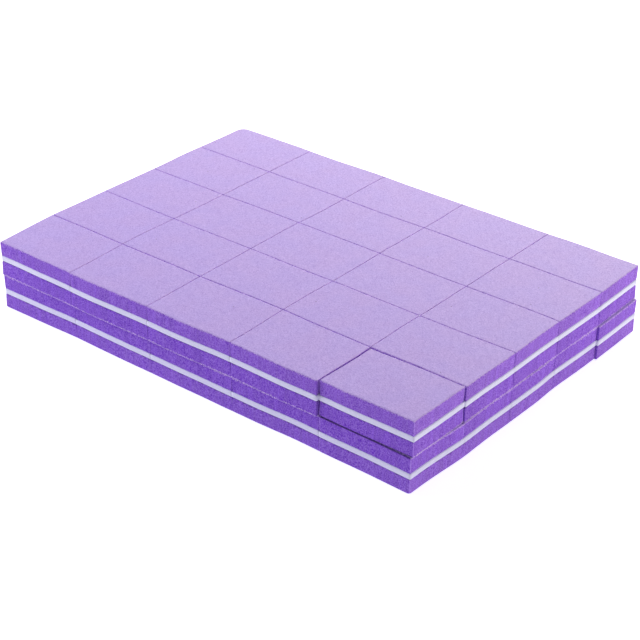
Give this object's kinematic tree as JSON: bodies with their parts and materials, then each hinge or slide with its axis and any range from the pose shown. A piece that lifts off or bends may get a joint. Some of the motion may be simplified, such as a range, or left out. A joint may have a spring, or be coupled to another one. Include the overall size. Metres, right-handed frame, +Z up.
{
  "type": "nail buffer block set",
  "caption": "Stack of loose mini nail buffer blocks in two layers, each a white core between two violet foam pads with lilac grit faces.",
  "frame": {"origin": "middle of the stack's outline in plan, on the surface that it stands on", "axes": "+X along the longer side of the stack from column a to column e, +Y from row 1 to row 5, +Z up out of the upper grit faces"},
  "size_m": [0.1754, 0.1248, 0.0252],
  "materials": {
    "foam": "matte",
    "core": "matte"
  },
  "bodies": {
    "lower_layer": {"lower_column_a_pads": "foam", "lower_column_a_cores": "core", "lower_column_b_pads": "foam", "lower_column_b_cores": "core", "lower_column_c_pads": "foam", "lower_column_c_cores": "core", "lower_column_d_pads": "foam", "lower_column_d_cores": "core", "lower_column_e_pads": "foam", "lower_column_e_cores": "core"},
    "upper_a1": {"upper_a1_pads": "foam", "upper_a1_core": "core"},
    "upper_a2": {"upper_a2_pads": "foam", "upper_a2_core": "core"},
    "upper_a3": {"upper_a3_pads": "foam", "upper_a3_core": "core"},
    "upper_a4": {"upper_a4_pads": "foam", "upper_a4_core": "core"},
    "upper_a5": {"upper_a5_pads": "foam", "upper_a5_core": "core"},
    "upper_b1": {"upper_b1_pads": "foam", "upper_b1_core": "core"},
    "upper_b2": {"upper_b2_pads": "foam", "upper_b2_core": "core"},
    "upper_b3": {"upper_b3_pads": "foam", "upper_b3_core": "core"},
    "upper_b4": {"upper_b4_pads": "foam", "upper_b4_core": "core"},
    "upper_b5": {"upper_b5_pads": "foam", "upper_b5_core": "core"},
    "upper_c1": {"upper_c1_pads": "foam", "upper_c1_core": "core"},
    "upper_c2": {"upper_c2_pads": "foam", "upper_c2_core": "core"},
    "upper_c3": {"upper_c3_pads": "foam", "upper_c3_core": "core"},
    "upper_c4": {"upper_c4_pads": "foam", "upper_c4_core": "core"},
    "upper_c5": {"upper_c5_pads": "foam", "upper_c5_core": "core"},
    "upper_d1": {"upper_d1_pads": "foam", "upper_d1_core": "core"},
    "upper_d2": {"upper_d2_pads": "foam", "upper_d2_core": "core"},
    "upper_d3": {"upper_d3_pads": "foam", "upper_d3_core": "core"},
    "upper_d4": {"upper_d4_pads": "foam", "upper_d4_core": "core"},
    "upper_d5": {"upper_d5_pads": "foam", "upper_d5_core": "core"},
    "upper_e1": {"upper_e1_pads": "foam", "upper_e1_core": "core"},
    "upper_e2": {"upper_e2_pads": "foam", "upper_e2_core": "core"},
    "upper_e3": {"upper_e3_pads": "foam", "upper_e3_core": "core"},
    "upper_e4": {"upper_e4_pads": "foam", "upper_e4_core": "core"},
    "upper_e5": {"upper_e5_pads": "foam", "upper_e5_core": "core"}
  },
  "joints": [
    {"name": "lift_a1", "type": "slide", "parent": "lower_layer", "child": "upper_a1", "axis": [0, 0, 1], "range_m": [0, 0.02]},
    {"name": "lift_a2", "type": "slide", "parent": "lower_layer", "child": "upper_a2", "axis": [0, 0, 1], "range_m": [0, 0.02]},
    {"name": "lift_a3", "type": "slide", "parent": "lower_layer", "child": "upper_a3", "axis": [0, 0, 1], "range_m": [0, 0.02]},
    {"name": "lift_a4", "type": "slide", "parent": "lower_layer", "child": "upper_a4", "axis": [0, 0, 1], "range_m": [0, 0.02]},
    {"name": "lift_a5", "type": "slide", "parent": "lower_layer", "child": "upper_a5", "axis": [0, 0, 1], "range_m": [0, 0.02]},
    {"name": "lift_b1", "type": "slide", "parent": "lower_layer", "child": "upper_b1", "axis": [0, 0, 1], "range_m": [0, 0.02]},
    {"name": "lift_b2", "type": "slide", "parent": "lower_layer", "child": "upper_b2", "axis": [0, 0, 1], "range_m": [0, 0.02]},
    {"name": "lift_b3", "type": "slide", "parent": "lower_layer", "child": "upper_b3", "axis": [0, 0, 1], "range_m": [0, 0.02]},
    {"name": "lift_b4", "type": "slide", "parent": "lower_layer", "child": "upper_b4", "axis": [0, 0, 1], "range_m": [0, 0.02]},
    {"name": "lift_b5", "type": "slide", "parent": "lower_layer", "child": "upper_b5", "axis": [0, 0, 1], "range_m": [0, 0.02]},
    {"name": "lift_c1", "type": "slide", "parent": "lower_layer", "child": "upper_c1", "axis": [0, 0, 1], "range_m": [0, 0.02]},
    {"name": "lift_c2", "type": "slide", "parent": "lower_layer", "child": "upper_c2", "axis": [0, 0, 1], "range_m": [0, 0.02]},
    {"name": "lift_c3", "type": "slide", "parent": "lower_layer", "child": "upper_c3", "axis": [0, 0, 1], "range_m": [0, 0.02]},
    {"name": "lift_c4", "type": "slide", "parent": "lower_layer", "child": "upper_c4", "axis": [0, 0, 1], "range_m": [0, 0.02]},
    {"name": "lift_c5", "type": "slide", "parent": "lower_layer", "child": "upper_c5", "axis": [0, 0, 1], "range_m": [0, 0.02]},
    {"name": "lift_d1", "type": "slide", "parent": "lower_layer", "child": "upper_d1", "axis": [0, 0, 1], "range_m": [0, 0.02]},
    {"name": "lift_d2", "type": "slide", "parent": "lower_layer", "child": "upper_d2", "axis": [0, 0, 1], "range_m": [0, 0.02]},
    {"name": "lift_d3", "type": "slide", "parent": "lower_layer", "child": "upper_d3", "axis": [0, 0, 1], "range_m": [0, 0.02]},
    {"name": "lift_d4", "type": "slide", "parent": "lower_layer", "child": "upper_d4", "axis": [0, 0, 1], "range_m": [0, 0.02]},
    {"name": "lift_d5", "type": "slide", "parent": "lower_layer", "child": "upper_d5", "axis": [0, 0, 1], "range_m": [0, 0.02]},
    {"name": "lift_e1", "type": "slide", "parent": "lower_layer", "child": "upper_e1", "axis": [0, 0, 1], "range_m": [0, 0.02]},
    {"name": "lift_e2", "type": "slide", "parent": "lower_layer", "child": "upper_e2", "axis": [0, 0, 1], "range_m": [0, 0.02]},
    {"name": "lift_e3", "type": "slide", "parent": "lower_layer", "child": "upper_e3", "axis": [0, 0, 1], "range_m": [0, 0.02]},
    {"name": "lift_e4", "type": "slide", "parent": "lower_layer", "child": "upper_e4", "axis": [0, 0, 1], "range_m": [0, 0.02]},
    {"name": "lift_e5", "type": "slide", "parent": "lower_layer", "child": "upper_e5", "axis": [0, 0, 1], "range_m": [0, 0.02]}
  ]
}
